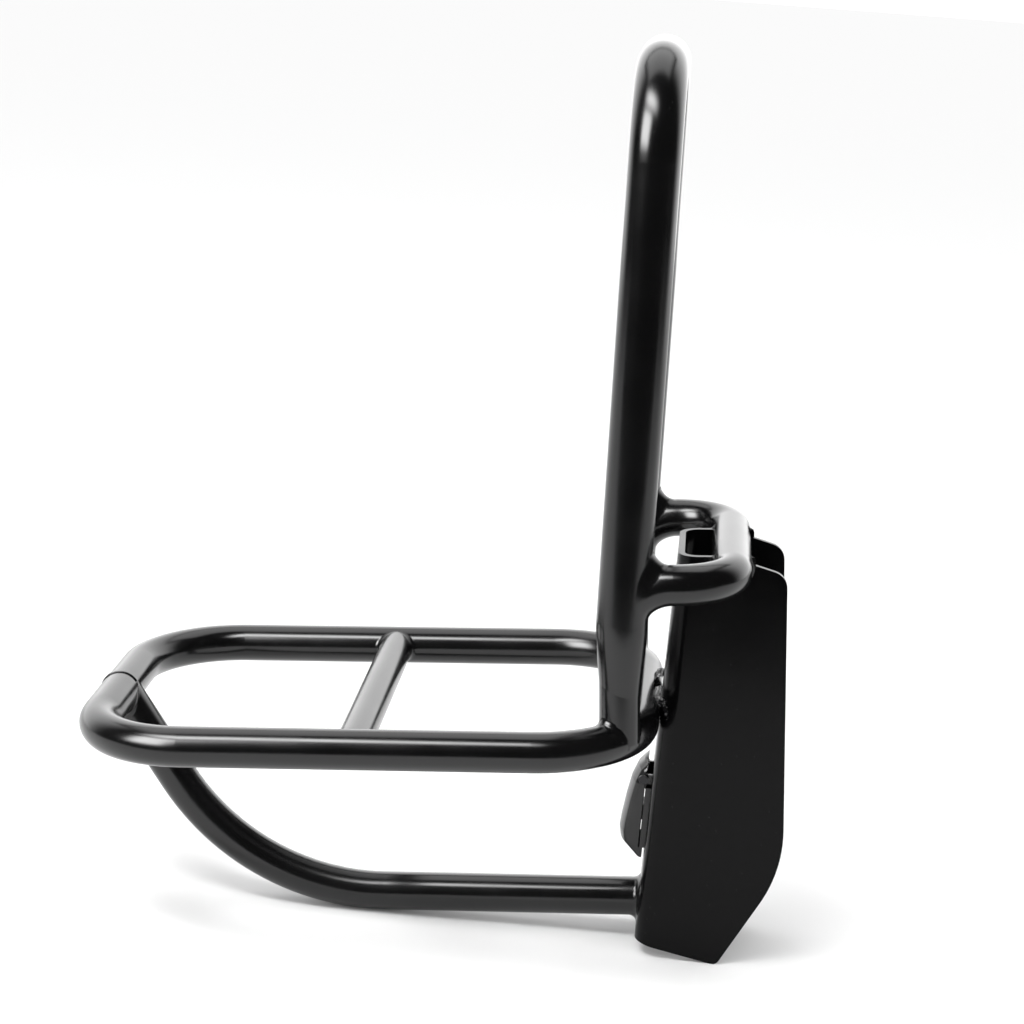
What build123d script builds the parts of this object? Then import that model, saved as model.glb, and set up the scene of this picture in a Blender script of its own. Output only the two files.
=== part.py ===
from build123d import *
import math
import os

# Welded luggage rack for the front carrier block of a folding bicycle: a flat tube deck with a
# back hoop, hung on a folded sheet receiver that slides down over the block and latches there.
# -X points ahead of the bicycle, +Z is up, Y = 0 is the middle plane, the rider's left is -Y.
# The origin is the middle of the rack's footprint, level with the receiver's lowest corner.

# ---- driving sizes (mm) ----
deck_length = 233.4  # front to back over the deck loop
deck_width = 165.0  # over the deck loop
deck_corner_radius = 40.0  # every bend radius is on the tube's centreline
frame_tube_diameter = 16.0
tube_wall = 1.5
cross_bar_diameter = 14.0
cross_bar_setback = 115.2  # deck's front edge to the bar's axis

hoop_tube_diameter = 20.0
hoop_width = 116.0  # between the leg axes
hoop_rise = 257.5  # deck axis to the axis of the hoop's top run
hoop_lean = 3.85  # degrees, top leaning back over the receiver
hoop_corner_radius = 33.0
hoop_foot_rise = 48.0  # deck axis to the hoop's lower ends, which sleeve the neck's bends

neck_inset = 14.9  # deck's rear edge to the neck's leg axes
neck_rise = 62.8  # deck axis to the axis of the neck's level runs
neck_reach = 43.0  # leg axis to the axis of the neck's rear run
neck_lower_bend = 20.5
neck_rear_bend = 22.5

brace_drop = 86.6  # deck axis to the brace's level run
brace_slope = 58.8  # degrees below level where it leaves the deck's front run
brace_bend_radius = 101.0

receiver_width = 50.0  # over the two flanges
receiver_sheet = 2.5
receiver_fold_radius = 8.0  # outside
receiver_lean = 6.0  # degrees, front wall off vertical
receiver_top_rise = 66.0  # deck axis to the flanges' top edge
receiver_drop = 106.0  # deck axis to the flanges' lowest corner
receiver_tail = 50.2  # deck's rear edge to the flanges' rear edge
receiver_tail_drop = 7.6  # the top edge falls this far from the notch to the rear edge
receiver_tail_radius = 7.0
receiver_cut_height = 41.5  # lowest corner to where the cut meets the rear edge
receiver_cut_setback = 27.0  # rear edge to the lowest corner
receiver_cut_radius = 58.0
receiver_foot_radius = 3.0
receiver_front_lift = 9.0  # lowest corner to the foot of the front wall

latch_drop = 25.0  # deck axis to the lever's upper end
lever_width = 22.0
lever_sheet = 1.0
lever_edge_radius = 2.2
latch_base_thickness = 2.2
latch_base_width = 25.0
latch_ear_thickness = 1.4
latch_pin_diameter = 2.0
latch_pin_clearance = 0.05
latch_gap = 0.4  # between the lever and anything it moves past
latch_tooth_width = 10.0
latch_tooth_reach = 4.5  # how far the tooth stands into the receiver
spring_wire = 0.5
spring_coil_clearance = 0.15
spring_turns = 5  # whole turns; the arms' angle adds a part turn

weld_leg = 2.6
bar_weld_rise = 0.8  # the bar's beads stand this far above it, no higher than the deck tube
hoop_weld_leg = 4.5  # the hoop's beads lie mostly behind its feet
seam_bead_rise = 0.5
seam_bead_width = 3.2
vent_diameter = 3.0

# ---- derived places ----
overall_length = seam_bead_rise + deck_length + receiver_tail
front_x = -overall_length / 2 + seam_bead_rise
rear_x = overall_length / 2
deck_z = receiver_drop
tube_r = frame_tube_diameter / 2
tube_bore = tube_r - tube_wall
hoop_r = hoop_tube_diameter / 2
hoop_bore = hoop_r - tube_wall
bar_r = cross_bar_diameter / 2
bar_bore = bar_r - tube_wall
deck_side = deck_width / 2 - tube_r
deck_front = front_x + tube_r
deck_rear = front_x + deck_length - tube_r
leg_x = front_x + deck_length - neck_inset
leg_side = hoop_width / 2
neck_z = deck_z + neck_rise
neck_rear = leg_x + neck_reach
brace_z = deck_z - brace_drop
bar_x = front_x + cross_bar_setback
room = 600.0

# The front wall's outer face is a leaning plane that touches the back of the deck's rear run.
lean = math.radians(receiver_lean)
wall_up = Vector(math.sin(lean), 0, math.cos(lean))
wall_out = Vector(-math.cos(lean), 0, math.sin(lean))
wall_touch = Vector(deck_rear, 0, deck_z) - wall_out * tube_r


def on_wall(z, depth=0.0):
    """The middle-plane point at height z that lies depth behind the front wall's outer face."""
    across = (z - wall_touch.Z) * math.tan(lean) + depth / math.cos(lean)
    return Vector(wall_touch.X + across, 0, z)


def round_bar(route, radius, bore=0.0):
    """A round bar along a route, or a tube when it has a bore."""
    with BuildPart() as made:
        with BuildSketch(Plane(origin=route @ 0, z_dir=route % 0)):
            Circle(radius)
            if bore:
                Circle(bore, mode=Mode.SUBTRACT)
        sweep(path=route)
    return made.part


def wall_slab(depth_from, depth_to):
    """A wide slab parallel to the front wall, between two depths behind its outer face."""
    with BuildPart() as made:
        with BuildSketch(Plane(origin=wall_touch - wall_out * depth_from, z_dir=-wall_out)):
            Rectangle(room, room)
        extrude(amount=depth_to - depth_from)
    return made.part


def bead(near_one, near_other, pieces, region):
    """Weld metal: whatever lies close to both pieces and outside them, inside a region."""
    with BuildPart() as made:
        add(near_one)
        add(near_other, mode=Mode.INTERSECT)
        add(region, mode=Mode.INTERSECT)
        for piece in pieces:
            add(piece, mode=Mode.SUBTRACT)
    return made.part.solids().sort_by(SortBy.VOLUME)[-1]


def box_between(low, high):
    size = Vector(*high) - Vector(*low)
    middle = (Vector(*high) + Vector(*low)) * 0.5
    with BuildPart() as made:
        with Locations(middle):
            Box(size.X, size.Y, size.Z)
    return made.part


def keep(part, name):
    """Label one finished piece and write it out."""
    part.label = name
    os.makedirs("parts", exist_ok=True)
    export_step(part, f"parts/{name}.step")


# ---- routes of the five tubes ----
with BuildLine() as half_deck_route:
    FilletPolyline(
        (deck_front, 0, deck_z),
        (deck_front, -deck_side, deck_z),
        (deck_rear, -deck_side, deck_z),
        (deck_rear, 0, deck_z),
        radius=deck_corner_radius,
    )

with BuildLine() as neck_route:
    FilletPolyline(
        (leg_x, -leg_side, deck_z),
        (leg_x, -leg_side, neck_z),
        (neck_rear, -leg_side, neck_z),
        (neck_rear, leg_side, neck_z),
        (leg_x, leg_side, neck_z),
        (leg_x, leg_side, deck_z),
        radius=[neck_lower_bend, neck_rear_bend, neck_rear_bend, neck_lower_bend],
    )

hoop_tilt = math.tan(math.radians(hoop_lean))
hoop_foot_x = leg_x + hoop_r - tube_r - 1.1


def hoop_point(rise, side):
    """A point in the leaning plane of the hoop, at a height above the deck."""
    return (hoop_foot_x + (rise - hoop_foot_rise) * hoop_tilt, side, deck_z + rise)


def hoop_route(foot_rise):
    with BuildLine() as made:
        FilletPolyline(
            hoop_point(foot_rise, -leg_side),
            hoop_point(hoop_rise, -leg_side),
            hoop_point(hoop_rise, leg_side),
            hoop_point(foot_rise, leg_side),
            radius=hoop_corner_radius,
        )
    return made.line


brace_turn_x = deck_front + brace_drop / math.tan(math.radians(brace_slope))
with BuildLine() as brace_route:
    FilletPolyline(
        (deck_front, 0, deck_z),
        (brace_turn_x, 0, brace_z),
        (on_wall(brace_z).X + tube_r, 0, brace_z),
        radius=brace_bend_radius,
    )

with BuildLine() as bar_route:
    Line((bar_x, -deck_side, deck_z), (bar_x, deck_side, deck_z))


def deck_solid(radius):
    half = round_bar(half_deck_route.line, radius)
    return half + mirror(half, about=Plane.XZ)


deck_body = deck_solid(tube_r)
deck_near = deck_solid(tube_r + weld_leg)
neck_body = round_bar(neck_route.line, tube_r)
neck_near = round_bar(neck_route.line, tube_r + weld_leg)
hoop_body = round_bar(hoop_route(hoop_foot_rise), hoop_r)
hoop_near = round_bar(hoop_route(hoop_foot_rise - weld_leg), hoop_r + hoop_weld_leg / 2)
hoop_near = Pos(hoop_weld_leg / 2, 0, 0) * hoop_near
neck_hoop_near = round_bar(neck_route.line, tube_r + hoop_weld_leg)
brace_body = round_bar(brace_route.line, tube_r)
brace_near = round_bar(brace_route.line, tube_r + weld_leg)
bar_body = round_bar(bar_route.line, bar_r)
behind_wall = wall_slab(0, room)

with BuildPart() as bar_near:
    with BuildSketch(Plane.XZ.offset(-deck_side)):
        with Locations((bar_x, deck_z)):
            Ellipse(bar_r + weld_leg, bar_r + bar_weld_rise)
    extrude(amount=2 * deck_side)

# ---- deck loop: one bent tube, butt welded in the middle of its front run ----
half_loop = round_bar(half_deck_route.line, tube_r, tube_bore)
with BuildPart() as deck_loop:
    add(half_loop)
    mirror(about=Plane.XZ)
    with Locations((bar_x, -deck_side + tube_r, deck_z), (bar_x, deck_side - tube_r, deck_z)):
        Cylinder(vent_diameter / 2, 4 * tube_wall, rotation=(90, 0, 0), mode=Mode.SUBTRACT)

# ---- cross bar, coped to the inside of the deck's side runs ----
with BuildPart() as deck_cross_bar:
    add(round_bar(bar_route.line, bar_r, bar_bore))
    add(deck_body, mode=Mode.SUBTRACT)

# ---- neck loop: both legs and the level U over the receiver, in one bent tube ----
with BuildPart() as neck_loop:
    add(round_bar(neck_route.line, tube_r, tube_bore))
    add(deck_body, mode=Mode.SUBTRACT)
    with Locations((leg_x + 9.0, 0, neck_z - 14.0)):
        Cylinder(vent_diameter / 2, room, rotation=(90, 0, 0), mode=Mode.SUBTRACT)

# ---- back hoop: its feet are coped over the neck's lower bends ----
with BuildPart() as back_hoop:
    add(round_bar(hoop_route(hoop_foot_rise), hoop_r, hoop_bore))
    add(neck_body, mode=Mode.SUBTRACT)

# ---- under brace, from below the deck's front run to the receiver's front wall ----
with BuildPart() as under_brace:
    add(round_bar(brace_route.line, tube_r, tube_bore))
    add(deck_body, mode=Mode.SUBTRACT)
    add(behind_wall, mode=Mode.SUBTRACT)

# ---- receiver: one sheet folded to a channel, open at the top, the back and the bottom ----
receiver_top_z = deck_z + receiver_top_rise
half_width = receiver_width / 2
inner_half = half_width - receiver_sheet
cut_angle = math.atan2(receiver_cut_height, receiver_cut_setback)
foot_run = rear_x - receiver_cut_setback - on_wall(receiver_front_lift).X
foot_angle = math.atan2(receiver_front_lift, foot_run)
# Rounding the lowest corner lifts its lowest point, so the outline starts that much lower.
foot_open = (math.pi - cut_angle - foot_angle) / 2
foot_sink = receiver_foot_radius * (math.sin(cut_angle + foot_open) / math.sin(foot_open) - 1)
receiver_outline = [
    (on_wall(receiver_top_z).X, receiver_top_z),
    (neck_rear - 1.0, receiver_top_z),
    (rear_x, receiver_top_z - receiver_tail_drop),
    (rear_x, receiver_cut_height - foot_sink),
    (rear_x - receiver_cut_setback, -foot_sink),
    (on_wall(receiver_front_lift - foot_sink).X, receiver_front_lift - foot_sink),
]


def channel_block(half, depth, fold, outline):
    """A block behind the front wall, rounded along the two folds."""
    with BuildPart() as made:
        with BuildSketch(Plane.XZ.offset(-half)):
            with BuildLine():
                Polyline(*outline, close=True)
            make_face()
        extrude(amount=2 * half)
        add(wall_slab(depth - room, depth), mode=Mode.SUBTRACT)
        folds = made.edges().filter_by(
            lambda e: abs(e.center().Y) > half - 0.1 and abs((e % 0.5).dot(wall_up)) > 0.9999
        )
        fillet(folds, fold)
    return made.part


with BuildPart() as receiver_shell:
    add(channel_block(half_width, 0, receiver_fold_radius, receiver_outline))
    across = receiver_shell.edges().filter_by(Axis.Y)
    rear_corners = across.filter_by_position(Axis.X, rear_x - 0.1, rear_x + 0.1).sort_by(Axis.Z)
    fillet(rear_corners[-1], receiver_tail_radius)
    fillet(rear_corners[0], receiver_cut_radius)
    lowest = receiver_shell.edges().filter_by(Axis.Y).sort_by(Axis.Z)[0]
    fillet(lowest, receiver_foot_radius)
    hollow = [
        (on_wall(receiver_top_z + room).X - room, receiver_top_z + room),
        (rear_x + room, receiver_top_z + room),
        (rear_x + room, -room),
        (on_wall(-room).X - room, -room),
    ]
    inside_fold = receiver_fold_radius - receiver_sheet
    add(channel_block(inner_half, receiver_sheet, inside_fold, hollow), mode=Mode.SUBTRACT)
    add(neck_body, mode=Mode.SUBTRACT)


# ---- latch, drawn on the front wall: x runs down the wall, y runs out from it ----
latch = Plane(origin=on_wall(deck_z - latch_drop), x_dir=-wall_up, z_dir=(0, 1, 0))
lever_crown, lever_knee, lever_brow = (0, 3.5), (7.0, 6.9), (29.0, 11.2)
lever_chin, lever_tip, lever_heel = (35.0, 10.5), (42.0, 3.1), (39.5, 0.9)
pin_at = (7.0, 3.6)
pin_r = latch_pin_diameter / 2
hole_r = pin_r + latch_pin_clearance
cheek_boss = 2.6
cheek_foot = latch_base_thickness + latch_gap
ear_boss = 1.65
ear_face = lever_width / 2 - lever_sheet - latch_gap
base_top, base_foot = 10.2, 36.0
tooth_top, tooth_foot = 20.0, 26.5
tooth_depth = receiver_sheet + latch_tooth_reach
window_side_gap = 0.5
window_top = tooth_top - 0.6
window_foot = 30.0
lever_outline = [
    lever_crown, lever_knee, lever_brow, lever_chin, lever_tip, lever_heel,
    (37.0, lever_heel[1]), (base_foot + latch_gap, cheek_foot), (base_top, cheek_foot), (0.4, 2.6),
]


def latch_block(points, width, at=0.0):
    """A side outline on the front wall, drawn out to a width about the middle plane."""
    with BuildPart() as made:
        with BuildSketch(latch.offset(at - width / 2)):
            with BuildLine():
                Polyline(*points, close=True)
            make_face()
        extrude(amount=width)
    return made.part


def latch_rod(radius, width, at=0.0, place=pin_at):
    """A round rod across the latch."""
    with BuildPart() as made:
        with BuildSketch(latch.offset(at - width / 2)):
            with Locations(place):
                Circle(radius)
        extrude(amount=width)
    return made.part


def inset(points, distance):
    """The outer line of the lever moved in by the sheet's thickness, then let out past the wall."""
    sides = []
    for start, end in zip(points[:-1], points[1:]):
        run = Vector(end[0] - start[0], end[1] - start[1])
        off = Vector(run.Y, -run.X).normalized() * distance
        sides.append((Vector(*start) + off, run))
    found = [sides[0][0] - sides[0][1]]
    for (p, a), (q, b) in zip(sides[:-1], sides[1:]):
        along = ((q.X - p.X) * b.Y - (q.Y - p.Y) * b.X) / (a.X * b.Y - a.Y * b.X)
        found.append(p + a * along)
    return [(v.X, v.Y) for v in found]


front_line = [lever_crown, lever_knee, lever_brow, lever_chin, lever_tip, lever_heel]
inner_line = inset(front_line, lever_sheet)
inner_outline = inner_line + [
    (inner_line[-1][0] - 6.0, -6.0),
    (inner_line[0][0], -6.0),
]

with BuildPart() as latch_lever:
    add(latch_block(lever_outline, lever_width))
    add(latch_rod(cheek_boss, lever_width))
    long_edges = latch_lever.edges().filter_by(
        lambda e: abs(abs(e.center().Y) - lever_width / 2) < 0.01
        and latch.to_local_coords(e.center()).Y > 3.2
        and e.geom_type == GeomType.LINE
        and latch.to_local_coords(e.center()).X > 3.0
    )
    fillet(long_edges, lever_edge_radius)
    add(latch_block(inner_outline, lever_width - 2 * lever_sheet), mode=Mode.SUBTRACT)
    add(latch_rod(hole_r, 2 * lever_width), mode=Mode.SUBTRACT)

with BuildPart() as latch_bracket:
    base = [
        (base_top, 0),
        (base_foot, 0),
        (base_foot, latch_base_thickness),
        (base_top, latch_base_thickness),
    ]
    add(latch_block(base, latch_base_width))
    for side in (-1, 1):
        ear_y = side * (ear_face - latch_ear_thickness / 2)
        ear = [
            (pin_at[0] - ear_boss, 0),
            (base_top + 2.0, 0),
            (base_top + 2.0, latch_base_thickness),
            (pin_at[0] + ear_boss, pin_at[1]),
            (pin_at[0] - ear_boss, pin_at[1]),
        ]
        add(latch_block(ear, latch_ear_thickness, ear_y))
        add(latch_rod(ear_boss, latch_ear_thickness, ear_y))
    window = [(window_top, -room), (window_foot, -room), (window_foot, room), (window_top, room)]
    window_block = latch_block(window, latch_tooth_width + 2 * window_side_gap)
    add(window_block, mode=Mode.SUBTRACT)
    add(latch_rod(hole_r, 2 * lever_width), mode=Mode.SUBTRACT)

with BuildPart() as latch_tooth:
    tooth_outline = [
        (tooth_top, -tooth_depth),
        (tooth_top, 20.0),
        (tooth_foot, 20.0),
        (tooth_foot, -receiver_sheet - 0.6),
        (tooth_top + 2.0, -tooth_depth),
    ]
    add(latch_block(tooth_outline, latch_tooth_width))
    above_lever = [
        inner_line[1],
        inner_line[2],
        (inner_line[2][0], 40.0),
        (inner_line[1][0], 40.0),
    ]
    add(latch_block(above_lever, 2 * lever_width), mode=Mode.SUBTRACT)

with BuildPart() as latch_pin:
    head_gap = 0.3
    add(latch_rod(pin_r, lever_width + 2.6, 0.5))
    add(latch_rod(2 * pin_r, 0.8, -lever_width / 2 - head_gap - 0.4))

with BuildPart() as pin_clip:
    add(latch_rod(2.2 * pin_r, 0.8, lever_width / 2 + head_gap + 0.4))
    add(latch_rod(pin_r, 2.0, lever_width / 2 + head_gap + 0.4), mode=Mode.SUBTRACT)

# The spring's arms both run up past the pin: one under the lever's crown, one over the wall.
coil_r = pin_r + spring_coil_clearance + spring_wire / 2
coil_pitch = spring_wire + 0.15
crown_slope = math.degrees(math.atan2(lever_knee[1] - lever_crown[1], lever_knee[0] - lever_crown[0]))
wall_arm_slope = 3.0
coil_turns = spring_turns + (180 + crown_slope - wall_arm_slope) / 360
coil_length = coil_pitch * coil_turns
coil_start = math.radians(180 + wall_arm_slope)
coil_plane = Plane(
    origin=latch.from_local_coords(Vector(pin_at[0], pin_at[1], -coil_length / 2)),
    x_dir=wall_out * math.cos(coil_start) + wall_up * math.sin(coil_start),
    z_dir=(0, 1, 0),
)
coil = coil_plane * Helix(coil_pitch, coil_length, coil_r)
with BuildPart() as latch_spring:
    add(round_bar(coil, spring_wire / 2))
    add(round_bar(Line(coil @ 0, (coil @ 0) - (coil % 0) * 4.5), spring_wire / 2))
    add(round_bar(Line(coil @ 1, (coil @ 1) + (coil % 1) * 5.0), spring_wire / 2))

# ---- weld metal ----
with BuildPart() as deck_seam_weld:
    with BuildSketch(Plane.XZ.offset(-seam_bead_width / 2)):
        with Locations((deck_front, deck_z)):
            Circle(tube_r + seam_bead_rise)
    extrude(amount=seam_bead_width)
    fillet(deck_seam_weld.edges(), seam_bead_rise * 0.8)
    add(deck_body, mode=Mode.SUBTRACT)
    add(brace_near, mode=Mode.SUBTRACT)

left_room = box_between((-room, -room, -room), (room, 0, room))
whole_room = box_between((front_x, -room, -room), (room, room, room))
cross_bar_weld = bead(bar_near.part, deck_near, [bar_body, deck_body], left_room)
leg_region = box_between((-room, -room, deck_z), (room, 0, neck_z))
leg_weld = bead(neck_near, deck_near, [neck_body, deck_body], leg_region)
hoop_region = box_between((-room, -room, deck_z), (room, 0, room))
hoop_weld = bead(hoop_near, neck_hoop_near, [hoop_body, neck_body], hoop_region)
brace_front_region = box_between((front_x, -room, 0), (0, room, deck_z + weld_leg))
brace_front_weld = bead(brace_near, deck_near, [brace_body, deck_body], brace_front_region)
wall_near = wall_slab(-weld_leg, 0)
brace_receiver_weld = bead(brace_near, wall_near, [brace_body, behind_wall], whole_room)
flat_half = half_width - receiver_fold_radius  # the wall is flat this far from the middle
deck_wall_region = box_between((0, -flat_half, deck_z), (room, -7.0, deck_z + 20))
deck_receiver_weld = bead(deck_near, wall_near, [deck_body, behind_wall], deck_wall_region)
flange_low = (0, -half_width - weld_leg, deck_z)
flange_high = (room, -inner_half, receiver_top_z)  # the inner faces stay clear for the block
neck_receiver_weld = bead(
    neck_near,
    box_between(flange_low, flange_high),
    [neck_body, receiver_shell.part],
    box_between((0, -room, deck_z), (room, 0, neck_z - 3.0)),
)

# the window in the front wall lies under the one in the latch's base
with BuildPart() as windowed_shell:
    add(receiver_shell.part)
    add(window_block, mode=Mode.SUBTRACT)

for part, name in (
    (deck_loop.part, "deck_loop"),
    (deck_cross_bar.part, "deck_cross_bar"),
    (back_hoop.part, "back_hoop"),
    (neck_loop.part, "neck_loop"),
    (under_brace.part, "under_brace"),
    (windowed_shell.part, "receiver_shell"),
    (latch_lever.part, "latch_lever"),
    (latch_bracket.part, "latch_bracket"),
    (latch_tooth.part, "latch_tooth"),
    (latch_pin.part, "latch_pin"),
    (pin_clip.part, "pin_clip"),
    (latch_spring.part, "latch_spring"),
    (deck_seam_weld.part, "deck_seam_weld"),
    (brace_front_weld, "brace_front_weld"),
    (brace_receiver_weld, "brace_receiver_weld"),
):
    keep(part, name)

for part, name in (
    (cross_bar_weld, "cross_bar_weld"),
    (leg_weld, "leg_weld"),
    (hoop_weld, "hoop_weld"),
    (deck_receiver_weld, "deck_receiver_weld"),
    (neck_receiver_weld, "neck_receiver_weld"),
):
    keep(part, f"{name}_left")
    keep(mirror(part, about=Plane.XZ), f"{name}_right")
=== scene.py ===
import math

import bpy
import numpy as np
from mathutils import Matrix, Vector


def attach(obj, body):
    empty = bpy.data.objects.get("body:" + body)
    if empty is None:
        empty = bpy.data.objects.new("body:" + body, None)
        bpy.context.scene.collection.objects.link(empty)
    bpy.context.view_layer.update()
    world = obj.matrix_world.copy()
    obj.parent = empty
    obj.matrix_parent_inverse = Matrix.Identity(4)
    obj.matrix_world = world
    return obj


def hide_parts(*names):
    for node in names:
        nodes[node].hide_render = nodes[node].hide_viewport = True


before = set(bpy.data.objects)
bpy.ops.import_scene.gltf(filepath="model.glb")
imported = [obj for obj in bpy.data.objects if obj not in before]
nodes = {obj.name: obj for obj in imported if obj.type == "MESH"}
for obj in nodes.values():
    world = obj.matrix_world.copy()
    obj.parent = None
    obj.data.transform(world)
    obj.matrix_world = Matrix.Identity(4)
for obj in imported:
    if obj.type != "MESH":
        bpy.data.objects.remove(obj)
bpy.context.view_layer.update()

print("frame loaded:", len(nodes), "nodes")

# camera: a long lens, a little above the deck, looking at the rack's left side
camera = {
    "place": (0.11344, -1.01028, 0.41513),
    "right": (0.99680, 0.07945, -0.00844),
    "up": (-0.00948, 0.22249, 0.97487),
    "lens": 89.97,
    "sensor": 36.0,
    "near": 0.05,
    "far": 50.0,
}


def makeCamera():
    data = bpy.data.cameras.new("studioCamera")
    data.lens = camera["lens"]
    data.sensor_width = camera["sensor"]
    data.clip_start = camera["near"]
    data.clip_end = camera["far"]
    cam = bpy.data.objects.new("studioCamera", data)
    right = Vector(camera["right"]).normalized()
    back = right.cross(Vector(camera["up"])).normalized()
    up = back.cross(right)
    turn = Matrix((right, up, back)).transposed().to_4x4()
    cam.matrix_world = Matrix.Translation(camera["place"]) @ turn
    bpy.context.scene.collection.objects.link(cam)
    bpy.context.scene.camera = cam


makeCamera()
print("camera placed")

# the table: the rack stands on the receiver's lowest corner and the brace's bend
table = {
    "restCorner": (0.1145, 0.0, 0.0),
    "tilt": 4.6,  # degrees, up towards the deck's front
    "paper": 0.86,
    "nearFront": -0.47,  # the top that gloss sees ends here, in front of the rack
    "nearBack": 2.2,
    "halfWidth": 1.6,
    "farReach": 14.0,
    "farDrop": 0.0004,  # how far the wide sweep lies under the top
}


def emptyMaterial(name):
    material = bpy.data.materials.new(name)
    material.use_nodes = True
    material.node_tree.nodes.clear()
    return material, material.node_tree


def paperMaterial():
    material, tree = emptyMaterial("palePaper")
    out = tree.nodes.new("ShaderNodeOutputMaterial")
    shade = tree.nodes.new("ShaderNodeBsdfDiffuse")
    shade.inputs["Color"].default_value = (*[table["paper"]] * 3, 1.0)
    tree.links.new(shade.outputs["BSDF"], out.inputs["Surface"])
    return material


def paperSheet(name, low, high, drop, material):
    mesh = bpy.data.meshes.new(name)
    across = [(low[0], low[1]), (high[0], low[1]), (high[0], high[1]), (low[0], high[1])]
    mesh.from_pydata([(x, y, -drop) for x, y in across], [], [(0, 1, 2, 3)])
    mesh.materials.append(material)
    sheet = bpy.data.objects.new(name, mesh)
    lean = Matrix.Rotation(math.radians(table["tilt"]), 4, "Y")
    sheet.matrix_world = Matrix.Translation(table["restCorner"]) @ lean
    bpy.context.scene.collection.objects.link(sheet)
    return sheet


def makeTable():
    pale = paperMaterial()
    side, reach = table["halfWidth"], table["farReach"]
    paperSheet("tableTop", (-side, table["nearFront"]), (side, table["nearBack"]), 0.0, pale)
    wide = paperSheet("paperSweep", (-reach, -reach), (reach, reach), table["farDrop"], pale)
    wide.visible_glossy = False


# the room: even and pale for soft light, but dark in front and bright behind as gloss sees it
room = {
    "pale": 1.12,
    "glossFrom": 0.12,  # how far round to the back the brightening starts and ends, 0 to 1
    "glossTo": 0.66,
    "glossDark": 0.05,
    "glossBright": 3.0,
}


def makeRoom():
    world = bpy.data.worlds.new("studioRoom")
    bpy.context.scene.world = world
    world.use_nodes = True
    tree = world.node_tree
    tree.nodes.clear()
    out = tree.nodes.new("ShaderNodeOutputWorld")
    pale = tree.nodes.new("ShaderNodeBackground")
    pale.inputs["Strength"].default_value = room["pale"]
    pale.inputs["Color"].default_value = (1.0, 1.0, 1.0, 1.0)
    gloss = tree.nodes.new("ShaderNodeBackground")
    where = tree.nodes.new("ShaderNodeTexCoord")
    axes = tree.nodes.new("ShaderNodeSeparateXYZ")
    ramp = tree.nodes.new("ShaderNodeMapRange")
    ramp.interpolation_type = "SMOOTHSTEP"
    ramp.inputs["From Min"].default_value = room["glossFrom"]
    ramp.inputs["From Max"].default_value = room["glossTo"]
    ramp.inputs["To Min"].default_value = room["glossDark"]
    ramp.inputs["To Max"].default_value = room["glossBright"]
    rays = tree.nodes.new("ShaderNodeLightPath")
    mix = tree.nodes.new("ShaderNodeMixShader")
    tree.links.new(where.outputs["Generated"], axes.inputs["Vector"])
    tree.links.new(axes.outputs["Y"], ramp.inputs["Value"])
    tree.links.new(ramp.outputs["Result"], gloss.inputs["Strength"])
    tree.links.new(rays.outputs["Is Glossy Ray"], mix.inputs["Fac"])
    tree.links.new(pale.outputs["Background"], mix.inputs[1])
    tree.links.new(gloss.outputs["Background"], mix.inputs[2])
    tree.links.new(mix.outputs["Shader"], out.inputs["Surface"])


softboxes = {
    "keyBox": {
        "at": (-0.35, -0.50, 1.25),
        "aim": (0.0, 0.0, 0.15),
        "size": (1.5, 0.5),
        "glow": 20.0,
        "flat": 0.1,  # the part of the half width that is evenly bright
    },
    "topBox": {
        "at": (0.0, 0.75, 1.9),
        "aim": (0.0, 0.3, 0.1),
        "size": (2.6, 1.7),
        "glow": 2.2,
        "flat": 0.6,
    },
    "sideBox": {
        "at": (-0.86, -0.86, 1.0),
        "aim": (0.1, -0.06, 0.34),
        "size": (1.3, 1.3),
        "glow": 19.0,
        "flat": 0.35,
        "glossOnly": True,
    },
}


def diffuserMaterial(name, box):
    material, tree = emptyMaterial(name)
    out = tree.nodes.new("ShaderNodeOutputMaterial")
    shade = tree.nodes.new("ShaderNodeEmission")
    where = tree.nodes.new("ShaderNodeTexCoord")
    axes = tree.nodes.new("ShaderNodeSeparateXYZ")
    tree.links.new(where.outputs["Object"], axes.inputs["Vector"])
    product = None  # the two fall-offs, across and along, multiplied
    for axis, half in (("X", box["size"][0] / 2), ("Y", box["size"][1] / 2)):
        offMiddle = tree.nodes.new("ShaderNodeMath")
        offMiddle.operation = "ABSOLUTE"
        tree.links.new(axes.outputs[axis], offMiddle.inputs[0])
        fall = tree.nodes.new("ShaderNodeMapRange")
        fall.interpolation_type = "SMOOTHSTEP"
        fall.inputs["From Min"].default_value = half * box["flat"]
        fall.inputs["From Max"].default_value = half
        fall.inputs["To Min"].default_value = 1.0
        fall.inputs["To Max"].default_value = 0.0
        tree.links.new(offMiddle.outputs[0], fall.inputs["Value"])
        if product is None:
            product = fall.outputs["Result"]
        else:
            times = tree.nodes.new("ShaderNodeMath")
            times.operation = "MULTIPLY"
            tree.links.new(product, times.inputs[0])
            tree.links.new(fall.outputs["Result"], times.inputs[1])
            product = times.outputs[0]
    scaled = tree.nodes.new("ShaderNodeMath")
    scaled.operation = "MULTIPLY"
    scaled.inputs[1].default_value = box["glow"]
    tree.links.new(product, scaled.inputs[0])
    tree.links.new(scaled.outputs[0], shade.inputs["Strength"])
    tree.links.new(shade.outputs["Emission"], out.inputs["Surface"])
    return material


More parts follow.
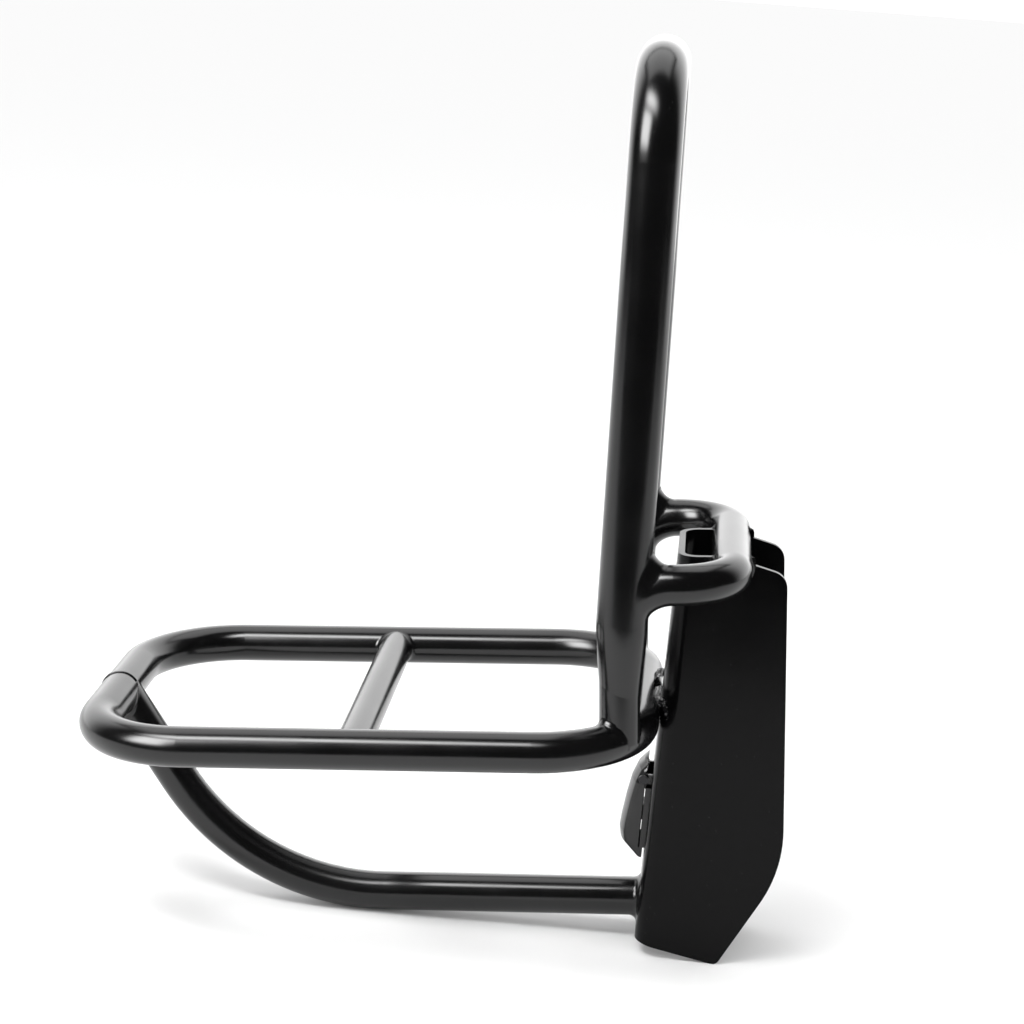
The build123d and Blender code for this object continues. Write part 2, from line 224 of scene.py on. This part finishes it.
def makeSoftboxes():
    for name, box in softboxes.items():
        halfX, halfY = box["size"][0] / 2, box["size"][1] / 2
        mesh = bpy.data.meshes.new(name)
        corners = [(-halfX, -halfY, 0), (-halfX, halfY, 0), (halfX, halfY, 0), (halfX, -halfY, 0)]
        mesh.from_pydata(corners, [], [(0, 1, 2, 3)])
        mesh.materials.append(diffuserMaterial(name + "Cloth", box))
        lamp = bpy.data.objects.new(name, mesh)
        aim = Vector(box["aim"]) - Vector(box["at"])
        lamp.location = box["at"]
        lamp.rotation_euler = aim.to_track_quat("-Z", "Y").to_euler()
        lamp.visible_camera = False
        lamp.visible_diffuse = not box.get("glossOnly", False)
        bpy.context.scene.collection.objects.link(lamp)


makeTable()
makeRoom()
makeSoftboxes()
bpy.context.scene.view_settings.view_transform = "Standard"
print("studio lit")

# finishes: gloss powder coat with a little orange peel, faint patches and a few dust specks
blackCoat = {
    "color": (0.0008, 0.0008, 0.0009),
    "dusty": (0.0022, 0.0022, 0.0024),
    "roughLow": 0.17,
    "roughHigh": 0.23,
    "ior": 1.5,
    "patchScale": 38.0,  # scales are in waves per metre, heights in metres
    "peelScale": 900.0,
    "peelHeight": 0.0000035,
    "grainScale": 2400.0,
    "grainHeight": 0.0000006,
    "lapScale": 420.0,  # the ripples that a weld shows through its coat
    "specks": 260.0,
    "speckColor": (0.12, 0.12, 0.12),
    "speckEdge": 0.05,
    "speckCore": 0.02,
    "speckShare": 0.35,
}


noiseSpan = (0.3, 0.7)  # the part of a noise's range that holds nearly all of it


def noiseNode(tree, where, scale, detail, rough=0.5):
    noise = tree.nodes.new("ShaderNodeTexNoise")
    noise.inputs["Scale"].default_value = scale
    noise.inputs["Detail"].default_value = detail
    noise.inputs["Roughness"].default_value = rough
    tree.links.new(where.outputs["Object"], noise.inputs["Vector"])
    return noise


def rangeNode(tree, source, fromLow, fromHigh, toLow, toHigh):
    ranged = tree.nodes.new("ShaderNodeMapRange")
    ranged.inputs["From Min"].default_value = fromLow
    ranged.inputs["From Max"].default_value = fromHigh
    ranged.inputs["To Min"].default_value = toLow
    ranged.inputs["To Max"].default_value = toHigh
    tree.links.new(source, ranged.inputs["Value"])
    return ranged.outputs["Result"]


def colorMix(tree, share, first, second):
    mix = tree.nodes.new("ShaderNodeMix")
    mix.data_type = "RGBA"
    tree.links.new(share, mix.inputs[0])
    for slot, value in ((6, first), (7, second)):
        if isinstance(value, tuple):
            mix.inputs[slot].default_value = (*value, 1.0)
        else:
            tree.links.new(value, mix.inputs[slot])
    return mix.outputs[2]


def bumpNode(tree, height, distance, below=None):
    bump = tree.nodes.new("ShaderNodeBump")
    bump.inputs["Distance"].default_value = distance
    tree.links.new(height, bump.inputs["Height"])
    if below is not None:
        tree.links.new(below, bump.inputs["Normal"])
    return bump.outputs["Normal"]


def powderCoat(name, ripple=0.0, roughShift=0.0, shine=0.5):
    material, tree = emptyMaterial(name)
    out = tree.nodes.new("ShaderNodeOutputMaterial")
    shade = tree.nodes.new("ShaderNodeBsdfPrincipled")
    where = tree.nodes.new("ShaderNodeTexCoord")
    patches = noiseNode(tree, where, blackCoat["patchScale"], 3.0)
    grain = noiseNode(tree, where, blackCoat["grainScale"], 2.0)
    dust = tree.nodes.new("ShaderNodeTexVoronoi")
    dust.inputs["Scale"].default_value = blackCoat["specks"]
    tree.links.new(where.outputs["Object"], dust.inputs["Vector"])
    tint = colorMix(tree, patches.outputs["Fac"], blackCoat["color"], blackCoat["dusty"])
    edge, core = blackCoat["speckEdge"], blackCoat["speckCore"]
    flecks = rangeNode(tree, dust.outputs["Distance"], edge, core, 0.0, blackCoat["speckShare"])
    color = colorMix(tree, flecks, tint, blackCoat["speckColor"])
    tree.links.new(color, shade.inputs["Base Color"])
    low, high = blackCoat["roughLow"] + roughShift, blackCoat["roughHigh"] + roughShift
    rough = rangeNode(tree, patches.outputs["Fac"], *noiseSpan, low, high)
    tree.links.new(rough, shade.inputs["Roughness"])
    peel = noiseNode(tree, where, blackCoat["peelScale"], 1.0)
    normal = bumpNode(tree, peel.outputs["Fac"], blackCoat["peelHeight"])
    normal = bumpNode(tree, grain.outputs["Fac"], blackCoat["grainHeight"], normal)
    if ripple:
        laps = noiseNode(tree, where, blackCoat["lapScale"], 3.0, 0.6)
        normal = bumpNode(tree, laps.outputs["Fac"], ripple, normal)
    tree.links.new(normal, shade.inputs["Normal"])
    shade.inputs["IOR"].default_value = blackCoat["ior"]
    shade.inputs["Specular IOR Level"].default_value = shine
    tree.links.new(shade.outputs["BSDF"], out.inputs["Surface"])
    return material


steel = {
    "pinColor": (0.045, 0.045, 0.047),
    "pinLines": 1500.0,
    "wireColor": (0.34, 0.34, 0.35),
    "wireLines": 2600.0,
    "darker": 0.6,
    "lineHeight": 0.000004,
    "rough": 0.3,
    "smoother": 0.08,
    "rougher": 0.1,
}


def bareSteel(name, color, lineScale):
    material, tree = emptyMaterial(name)
    out = tree.nodes.new("ShaderNodeOutputMaterial")
    shade = tree.nodes.new("ShaderNodeBsdfPrincipled")
    where = tree.nodes.new("ShaderNodeTexCoord")
    lines = noiseNode(tree, where, lineScale, 4.0)
    darker = tuple(part * steel["darker"] for part in color)
    tree.links.new(colorMix(tree, lines.outputs["Fac"], darker, color), shade.inputs["Base Color"])
    low, high = steel["rough"] - steel["smoother"], steel["rough"] + steel["rougher"]
    rough = rangeNode(tree, lines.outputs["Fac"], *noiseSpan, low, high)
    tree.links.new(rough, shade.inputs["Roughness"])
    tree.links.new(bumpNode(tree, lines.outputs["Fac"], steel["lineHeight"]), shade.inputs["Normal"])
    shade.inputs["Metallic"].default_value = 1.0
    tree.links.new(shade.outputs["BSDF"], out.inputs["Surface"])
    return material


glossBlack = powderCoat("glossBlackCoat")
sheetBlack = powderCoat("sheetBlackCoat", shine=0.12)  # the flat sheet mirrors the dark room
weldBlack = powderCoat("weldBlackCoat", ripple=0.00002)
roughWeldBlack = powderCoat("roughWeldBlackCoat", ripple=0.00028)
latchBlack = powderCoat("latchBlackCoat", roughShift=0.06)
pinSteel = bareSteel("pinSteel", steel["pinColor"], steel["pinLines"])
wireSteel = bareSteel("springWireSteel", steel["wireColor"], steel["wireLines"])
finishOf = {
    "receiver_shell": sheetBlack,
    "latch_lever": latchBlack,
    "latch_bracket": latchBlack,
    "latch_tooth": latchBlack,
    "latch_pin": pinSteel,
    "pin_clip": pinSteel,
    "latch_spring": wireSteel,
}
for name, node in nodes.items():
    finish = finishOf.get(name, weldBlack if "weld" in name else glossBlack)
    for place in node.material_slots:
        place.material = finish
print("finishes applied")

# the tubes' and the sheet's own lines, in metres, as the welds follow them
rack = {
    "tube": 0.008,  # radius, as are the next two
    "bar": 0.007,
    "hoop": 0.010,
    "deckZ": 0.106,
    "deckFront": -0.13355,
    "deckRear": 0.08385,
    "deckSide": 0.0745,
    "deckBend": 0.040,
    "barX": -0.02635,
    "legX": 0.07695,
    "legSide": 0.058,
    "neckZ": 0.1688,
    "neckRear": 0.11995,
    "lowerBend": 0.0205,
    "rearBend": 0.0225,
    "hoopFootX": 0.07785,
    "hoopFootRise": 0.048,
    "hoopLean": math.tan(math.radians(3.85)),
    "hoopFollowed": 0.15,  # the rise up to which the hoop's line is followed
    "braceTurnX": -0.08110,
    "braceZ": 0.0194,
    "braceBend": 0.101,
    "braceEnd": 0.1,
    "wallTouch": (0.091806, 0.0, 0.105164),  # where the deck's rear run meets the front wall
    "wallLean": math.radians(6.0),
    "halfWidth": 0.025,
    "fold": 0.008,
    "topZ": 0.172,
}
deckZ = rack["deckZ"]
wallUp = np.array((math.sin(rack["wallLean"]), 0.0, math.cos(rack["wallLean"])))
wallOut = np.array((-math.cos(rack["wallLean"]), 0.0, math.sin(rack["wallLean"])))


# a tube's middle line through its corner points, as straight runs and bends
def bentRuns(points, bends):
    points = [np.array(point, dtype=float) for point in points]
    runs = []
    start = points[0]
    for before, corner, after, bend in zip(points[:-2], points[1:-1], points[2:], bends):
        come = (corner - before) / np.linalg.norm(corner - before)
        go = (after - corner) / np.linalg.norm(after - corner)
        turn = math.acos(float(np.clip(come @ go, -1.0, 1.0)))
        setback = bend * math.tan(turn / 2)
        first, last = corner - come * setback, corner + go * setback
        runs.append(("line", start, first))
        side = go - come * (go @ come)
        side /= np.linalg.norm(side)
        runs.append(("arc", first + side * bend, -side, come, bend, turn, first, last))
        start = last
    runs.append(("line", start, points[-1]))
    return runs


def nearestOn(run, spots):
    if run[0] == "line":
        start, end = run[1], run[2]
        along = np.clip(((spots - start) @ (end - start)) / ((end - start) @ (end - start)), 0.0, 1.0)
        return start + along[:, None] * (end - start)
    centre, outward, ahead, bend, turn, first, last = run[1:]
    away = spots - centre
    angle = np.arctan2(away @ ahead, away @ outward)
    past = np.where(angle < turn / 2 - math.pi, angle + 2 * math.pi, angle)
    held = np.clip(past, 0.0, turn)
    return centre + bend * (np.cos(held)[:, None] * outward + np.sin(held)[:, None] * ahead)


# every ...Gap gives how far each spot is outside a shape, and the way out of it
def tubeGap(runs, radius):
    def gap(spots):
        best = None
        for run in runs:
            away = spots - nearestOn(run, spots)
            length = np.linalg.norm(away, axis=1)
            if best is None:
                best, toward = length, away
            else:
                closer = length < best
                toward = np.where(closer[:, None], away, toward)
                best = np.where(closer, length, best)
        size = radius(spots) if callable(radius) else radius
        return best - size, toward / np.maximum(best, 1e-9)[:, None]
    return gap


def channelDepth(spots):
    return -(spots - np.array(rack["wallTouch"])) @ wallOut


def channelGap(topped):
    def distance(spots):
        fold = rack["fold"]
        across = np.abs(spots[:, 1]) - (rack["halfWidth"] - fold)
        front = fold - channelDepth(spots)
        outer = np.hypot(np.maximum(across, 0.0), np.maximum(front, 0.0))
        gap = outer + np.minimum(np.maximum(across, front), 0.0) - fold
        if topped:
            gap = np.maximum(gap, spots[:, 2] - rack["topZ"])
        return gap
    return withSlope(distance)


def slopeOf(distance, spots, reach=0.00002):
    slope = np.empty_like(spots)
    for axis in range(3):
        shift = np.zeros(3)
        shift[axis] = reach
        slope[:, axis] = (distance(spots + shift) - distance(spots - shift)) / (2 * reach)
    return slope


def withSlope(distance):
    def gap(spots):
        slope = slopeOf(distance, spots)
        size = np.linalg.norm(slope, axis=1)
        return distance(spots), slope / np.maximum(size, 1e-9)[:, None]
    return gap


# two shapes with the corner between them filled as if a ball had rolled along it
def filletGap(one, other, radius, spots):
    gapOne, slopeOne = one(spots)
    gapOther, slopeOther = other(spots)
    near = np.minimum(gapOne, gapOther)
    together = np.sum(slopeOne * slopeOther, axis=1)
    spread = np.maximum(1.0 - together * together, 1e-6)
    roomOne, roomOther = radius - gapOne, radius - gapOther
    a = (roomOne - together * roomOther) / spread  # steps out from each shape to the ball's middle
    b = (roomOther - together * roomOne) / spread
    ball = radius - np.sqrt(np.maximum(a * a + b * b + 2 * a * b * together, 0.0))
    filled = (a > 0) & (b > 0) & (roomOne > 0) & (roomOther > 0)
    return np.where(filled, np.minimum(ball, near), near)


# a quad mesh where the field is nought: a point in each grid cell that the surface crosses
def surfaceNet(field, low, high, step):
    counts = [int(math.ceil((high[axis] - low[axis]) / step)) + 1 for axis in range(3)]
    lines = [low[axis] + step * np.arange(counts[axis]) for axis in range(3)]
    spots = np.stack(np.meshgrid(*lines, indexing="ij"), axis=-1).reshape(-1, 3)
    values = field(spots).reshape(counts)
    inside = values < 0
    cells = [count - 1 for count in counts]
    total = np.zeros(cells + [3])
    hits = np.zeros(cells)
    cellCorners = [(i, j, k) for i in (0, 1) for j in (0, 1) for k in (0, 1)]
    for start in cellCorners:
        for axis in range(3):
            if start[axis]:
                continue
            end = list(start)
            end[axis] = 1
            v0 = values[tuple(slice(start[k], start[k] + cells[k]) for k in range(3))]
            v1 = values[tuple(slice(end[k], end[k] + cells[k]) for k in range(3))]
            cross = (v0 < 0) != (v1 < 0)
            share = np.where(cross, v0 / np.where(cross, v0 - v1, 1.0), 0.0)
            hits += cross
            for other in range(3):
                along = start[other] + (share if other == axis else 0.0)
                total[..., other] += np.where(cross, along, 0.0)
    used = hits > 0
    numbers = -np.ones(cells, dtype=np.int64)
    numbers[used] = np.arange(int(used.sum()))
    corner = np.argwhere(used)
    points = np.array(low) + step * (corner + total[used] / hits[used][:, None])
    faces = []
    for axis in range(3):
        one, two = (axis + 1) % 3, (axis + 2) % 3
        here = [slice(1, counts[k] - 1) for k in range(3)]
        here[axis] = slice(0, counts[axis] - 1)
        ahead = list(here)
        ahead[axis] = slice(1, counts[axis])
        first, second = inside[tuple(here)], inside[tuple(ahead)]
        at = np.argwhere(first != second)
        flip = first[first != second]
        at = at + np.array([0 if k == axis else 1 for k in range(3)])
        ring = []
        for back1, back2 in ((1, 1), (0, 1), (0, 0), (1, 0)):
            cell = at.copy()
            cell[:, one] -= back1
            cell[:, two] -= back2
            ring.append(numbers[cell[:, 0], cell[:, 1], cell[:, 2]])
        quads = np.stack(ring, axis=1)
        quads[~flip] = quads[~flip][:, ::-1]
        faces.append(quads)
    return points, np.concatenate(faces)


net = {
    "patchShare": 0.12,  # a loose patch smaller than this share of the largest is dropped
    "pulls": 2,  # how often the points are pulled onto the surface
    "leastSteep": 0.25,
}


def mainPatches(points, faces):
    label = np.arange(len(points))
    while True:
        lowest = label[faces].min(axis=1)
        fresh = label.copy()
        for corner in range(4):
            np.minimum.at(fresh, faces[:, corner], lowest)
        fresh = fresh[fresh]
        if np.array_equal(fresh, label):
            break
        label = fresh
    names, sizes = np.unique(label[faces[:, 0]], return_counts=True)
    kept = np.isin(label, names[sizes > net["patchShare"] * sizes.max()])
    faces = faces[kept[faces[:, 0]]]
    numbers = np.cumsum(kept) - 1
    return points[kept], numbers[faces]


def smoothPiece(name, points, faces, finish, normals=None):
    mesh = bpy.data.meshes.new(name)
    mesh.from_pydata(points.tolist(), [], faces.tolist())
    mesh.polygons.foreach_set("use_smooth", [True] * len(mesh.polygons))
    mesh.update()
    if normals is not None:
        mesh.normals_split_custom_set_from_vertices(normals.tolist())
    mesh.materials.append(finish)
    piece = bpy.data.objects.new(name, mesh)
    bpy.context.scene.collection.objects.link(piece)
    return piece


weld = {
    "step": 0.00036,
    "proud": 0.000012,  # how far the skin stands over the tubes it joins
    "depth": 0.0006,
    "least": 0.000006,  # the thinnest fill that is kept
    "pullWithin": 0.6,  # steps from the skin
}
spatter = {
    "height": 0.00035,
    "fillDepth": 0.0006,  # where the fill is this deep the lumps have their full height
    "lift": 0.5,
    "across": 2400,  # waves are in radians per metre
    "sway": 3,
    "swayUp": 900,
    "up": 1300,
    "ahead": 700,
    "shift": 2.0,
    "fine": 0.4,
    "fineAcross": 5200,
    "fineUp": 3100,
}


def spatterLumps(spots):
    x, y, z = spots.T
    sway = spatter["sway"] * np.sin(spatter["swayUp"] * z)
    ahead = spatter["up"] * z + spatter["ahead"] * x + spatter["shift"]
    laps = np.sin(spatter["across"] * y + sway) * np.sin(ahead)
    fine = np.sin(spatter["fineAcross"] * y - spatter["fineUp"] * z)
    return spatter["lift"] + laps + spatter["fine"] * fine


# the skin over a weld: the fill between two shapes, cut where it runs out over them
def makeWeldSkin(name, replaced, one, other, bare, radius, window, finish, lump=0.0, limit=None):
    def outer(spots):
        gap = filletGap(one, other, radius, spots)
        if lump:
            share = np.clip((bare(spots) - gap) / spatter["fillDepth"], 0.0, 1.0)
            gap = gap - lump * share * spatterLumps(spots)
        return gap

    def body(spots):
        gap, near = outer(spots), bare(spots)
        shape = np.maximum(gap - weld["proud"], -near - weld["depth"])
        shape = np.maximum(shape, weld["least"] - (near - gap))
        if limit is not None:
            shape = np.maximum(shape, limit(spots))
        return shape

    points, faces = mainPatches(*surfaceNet(body, *window, weld["step"]))
    for pull in range(net["pulls"]):
        value, slope = outer(points) - weld["proud"], slopeOf(outer, points)
        steep = np.maximum(np.sum(slope * slope, axis=1), net["leastSteep"])
        onSkin = np.abs(value) < weld["pullWithin"] * weld["step"]
        move = np.where(onSkin, value / steep, 0.0)
        points = points - move[:, None] * slope
    slope = slopeOf(outer, points)
    slope /= np.maximum(np.linalg.norm(slope, axis=1), 1e-9)[:, None]
    piece = smoothPiece(name, points, faces, finish, slope)
    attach(piece, "frame")
    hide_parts(replaced)
    print("weld", name, len(points), "points")


def gapOnly(*shapes):
    return lambda spots: np.minimum.reduce([shape(spots)[0] for shape in shapes])


deckCorners = [
    (0.0, -rack["deckSide"], deckZ),
    (rack["deckFront"], -rack["deckSide"], deckZ),
    (rack["deckFront"], rack["deckSide"], deckZ),
    (rack["deckRear"], rack["deckSide"], deckZ),
    (rack["deckRear"], -rack["deckSide"], deckZ),
    (0.0, -rack["deckSide"], deckZ),
]
deckTube = tubeGap(bentRuns(deckCorners, [rack["deckBend"]] * 4), rack["tube"])
neckCorners = [
    (rack["legX"], -rack["legSide"], deckZ),
    (rack["legX"], -rack["legSide"], rack["neckZ"]),
    (rack["neckRear"], -rack["legSide"], rack["neckZ"]),
    (rack["neckRear"], rack["legSide"], rack["neckZ"]),
    (rack["legX"], rack["legSide"], rack["neckZ"]),
    (rack["legX"], rack["legSide"], deckZ),
]
neckBends = [rack["lowerBend"], rack["rearBend"], rack["rearBend"], rack["lowerBend"]]
neckTube = tubeGap(bentRuns(neckCorners, neckBends), rack["tube"])
braceCorners = [
    (rack["deckFront"], 0.0, deckZ),
    (rack["braceTurnX"], 0.0, rack["braceZ"]),
    (rack["braceEnd"], 0.0, rack["braceZ"]),
]
braceTube = tubeGap(bentRuns(braceCorners, [rack["braceBend"]]), rack["tube"])
barEnds = [(rack["barX"], side * rack["deckSide"], deckZ) for side in (-1, 1)]
barTube = tubeGap(bentRuns(barEnds, []), rack["bar"])
hoopTaper = {  # the hoop's foot is drawn down to the leg's width
    "full": 0.048,
    "gone": 0.012,
    "least": 0.0077,
}


def hoopSpot(rise, side):
    x = rack["hoopFootX"] + (rise - rack["hoopFootRise"]) * rack["hoopLean"]
    return np.array((x, side, deckZ + rise))


def hoopSize(spots):
    below = deckZ + hoopTaper["full"] - spots[:, 2]
    share = np.clip(below / (hoopTaper["full"] - hoopTaper["gone"]), 0.0, 1.0)
    share = share * share * (3 - 2 * share)
    return rack["hoop"] - (rack["hoop"] - hoopTaper["least"]) * share


def hoopShapes(side):
    foot = hoopSpot(rack["hoopFootRise"], side)
    end = np.array((rack["legX"], side, deckZ + hoopTaper["gone"]))
    above = hoopSpot(rack["hoopFollowed"], side)
    taper = tubeGap([("line", end, foot), ("line", foot, above)], hoopSize)
    axis = above - foot
    axis = axis / np.linalg.norm(axis)
    full = tubeGap([("line", foot, above)], rack["hoop"])

    def cut(spots):
        return np.maximum(full(spots)[0], -(spots - foot) @ axis)
    return taper, cut


def around(centre, reach):
    centre, reach = np.array(centre), np.array(reach)
    return centre - reach, centre + reach


wall = channelGap(False)
flange = channelGap(True)

# fillet is the rolling ball's radius; the middle and the reach are the space each skin is made in
legWeld = {"fillet": 0.0032, "rise": 0.007, "reach": (0.0135, 0.0135, 0.0092)}
hoopWeld = {"fillet": 0.0062, "back": 0.007, "rise": 0.0485, "reach": (0.0195, 0.0118, 0.0375)}
barWeld = {"fillet": 0.0026, "side": 0.0675, "reach": (0.0125, 0.0065, 0.0095)}
deckWallWeld = {
    "fillet": 0.0030,
    "x": 0.0905,
    "side": 0.0155,
    "rise": 0.0045,
    "reach": (0.0055, 0.0088, 0.0072),
}
neckFlangeWeld = {
    "fillet": 0.0018,
    "side": 0.0262,
    "fall": 0.003,
    "reach": (0.0115, 0.0032, 0.0085),
    "inner": 0.0245,  # it stays outside this, clear of the carrier block's side
}


def outsideFlange(spots):
    return neckFlangeWeld["inner"] - np.abs(spots[:, 1])


for side, word in ((-1, "left"), (1, "right")):
    legY = side * rack["legSide"]
    middle = (rack["legX"], legY, deckZ + legWeld["rise"])
    makeWeldSkin("legWeld." + word, "leg_weld_" + word, neckTube, deckTube,
                 gapOnly(neckTube, deckTube), legWeld["fillet"],
                 around(middle, legWeld["reach"]), weldBlack)
    taper, cutHoop = hoopShapes(legY)
    middle = (rack["legX"] + hoopWeld["back"], legY, deckZ + hoopWeld["rise"])
    makeWeldSkin("hoopWeld." + word, "hoop_weld_" + word, taper, neckTube,
                 lambda spots, cut=cutHoop: np.minimum(cut(spots), neckTube(spots)[0]),
                 hoopWeld["fillet"], around(middle, hoopWeld["reach"]), weldBlack)
    middle = (rack["barX"], side * barWeld["side"], deckZ)
    makeWeldSkin("barWeld." + word, "cross_bar_weld_" + word, barTube, deckTube,
                 gapOnly(barTube, deckTube), barWeld["fillet"],
                 around(middle, barWeld["reach"]), weldBlack)
    middle = (deckWallWeld["x"], side * deckWallWeld["side"], deckZ + deckWallWeld["rise"])
    makeWeldSkin("deckWallWeld." + word, "deck_receiver_weld_" + word, deckTube, wall,
                 gapOnly(deckTube, wall), deckWallWeld["fillet"],
                 around(middle, deckWallWeld["reach"]), roughWeldBlack, lump=spatter["height"])
    middle = (rack["neckRear"], side * neckFlangeWeld["side"], rack["neckZ"] - neckFlangeWeld["fall"])
    makeWeldSkin("neckFlangeWeld." + word, "neck_receiver_weld_" + word, neckTube, flange,
                 gapOnly(neckTube, flange), neckFlangeWeld["fillet"],
                 around(middle, neckFlangeWeld["reach"]), weldBlack, limit=outsideFlange)

braceFrontWeld = {"fillet": 0.0030, "back": 0.006, "fall": 0.005, "reach": (0.016, 0.0125, 0.0115)}
braceWallWeld = {"fillet": 0.0030, "x": 0.0822, "reach": (0.0055, 0.0122, 0.0122)}
middle = (rack["deckFront"] + braceFrontWeld["back"], 0.0, deckZ - braceFrontWeld["fall"])
makeWeldSkin("braceFrontWeld", "brace_front_weld", braceTube, deckTube,
             gapOnly(braceTube, deckTube), braceFrontWeld["fillet"],
             around(middle, braceFrontWeld["reach"]), weldBlack)
middle = (braceWallWeld["x"], 0.0, rack["braceZ"])
makeWeldSkin("braceWallWeld", "brace_receiver_weld", braceTube, wall,
             gapOnly(braceTube, wall), braceWallWeld["fillet"],
             around(middle, braceWallWeld["reach"]), weldBlack)
print("welds laid")

# the latch lever: a pressed scoop, open towards the wall; u runs down the wall and v out from it
lever = {
    "top": 0.025,  # below the deck's axis
    "outline": [
        (0.0, 0.0034), (0.0035, 0.0064), (0.009, 0.0084), (0.017, 0.0098),
        (0.026, 0.0109), (0.031, 0.0112), (0.0352, 0.0104), (0.0418, 0.0036),
        (0.0412, 0.0018), (0.0405, -0.012), (0.0006, -0.012),
    ],
    "halfWidth": 0.011,
    "edge": 0.0022,
    "crown": 0.0025,  # how far the front face falls back from its middle to its edges
    "sheet": 0.001,
    "pin": (0.007, 0.0036),
    "pinHole": 0.00105,
    "overBase": 0.0026,  # how far out the cheeks stop, over the bracket's base, past it and above it
    "pastBase": 0.0009,
    "aboveBase": 0.0022,
    "baseTop": 0.008,
    "baseFoot": 0.0364,
    "low": (0.068, -0.0118, 0.0355),
    "high": (0.0935, 0.0118, 0.0825),
    "step": 0.0003,
}


def onWall(height):
    touch = rack["wallTouch"]
    return np.array((touch[0] + (height - touch[2]) * math.tan(rack["wallLean"]), 0.0, height))


leverTop = onWall(deckZ - lever["top"])


def leverPlace(spots):
    away = spots - leverTop
    return -(away @ wallUp), away @ wallOut, spots[:, 1]


# how far each place (u, v) is outside a closed outline
def outlineGap(u, v, corners):
    gap = None
    inside = np.zeros(u.shape, dtype=bool)
    for (u0, v0), (u1, v1) in zip(corners, corners[1:] + corners[:1]):
        du, dv = u1 - u0, v1 - v0
        along = np.clip(((u - u0) * du + (v - v0) * dv) / (du * du + dv * dv), 0.0, 1.0)
        away = np.hypot(u - u0 - along * du, v - v0 - along * dv)
        gap = away if gap is None else np.minimum(gap, away)
        crosses = (v0 > v) != (v1 > v)
        meet = u0 + (v - v0) * du / (dv if dv else 1e-12)
        inside ^= crosses & (u < meet)
    return np.where(inside, -gap, gap)


def shrunk(corners, distance):
    moved = []
    for before, corner, after in zip(corners[-1:] + corners[:-1], corners, corners[1:] + corners[:1]):
        come = Vector((corner[0] - before[0], corner[1] - before[1])).normalized()
        go = Vector((after[0] - corner[0], after[1] - corner[1])).normalized()
        inward = Vector((come.y, -come.x)) + Vector((go.y, -go.x))
        inward = inward / (1.0 + come.dot(go))
        moved.append((corner[0] + inward.x * distance, corner[1] + inward.y * distance))
    return moved


leverCore = shrunk(lever["outline"], lever["edge"])


def leverOuter(spots):
    u, v, y = leverPlace(spots)
    inPlan = outlineGap(u, v + lever["crown"] * (y / lever["halfWidth"]) ** 2, leverCore)
    across = np.abs(y) - (lever["halfWidth"] - lever["edge"])
    beyond = np.hypot(np.maximum(inPlan, 0.0), np.maximum(across, 0.0))
    return beyond + np.minimum(np.maximum(inPlan, across), 0.0) - lever["edge"]


def leverBody(spots):
    u, v, y = leverPlace(spots)
    outer = leverOuter(spots)
    shell = np.maximum(outer, -(outer + lever["sheet"]))
    overBase = (u > lever["baseTop"]) & (u < lever["baseFoot"])
    foot = np.where(overBase, lever["overBase"], lever["pastBase"])
    foot = np.where(u <= lever["baseTop"], lever["aboveBase"], foot)
    hole = lever["pinHole"] - np.hypot(u - lever["pin"][0], v - lever["pin"][1])
    return np.maximum(np.maximum(shell, foot - v), hole)


def makeLever():
    points, faces = mainPatches(*surfaceNet(leverBody, lever["low"], lever["high"], lever["step"]))
    most = lever["step"] / 2
    for pull in range(net["pulls"]):
        value, slope = leverBody(points), slopeOf(leverBody, points)
        steep = np.maximum(np.sum(slope * slope, axis=1), net["leastSteep"])
        points = points - np.clip(value / steep, -most, most)[:, None] * slope
    piece = smoothPiece("latchLever", points, faces, latchBlack)
    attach(piece, "lever")
    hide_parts("latch_lever")
    print("lever pressed", len(points), "points")


makeLever()
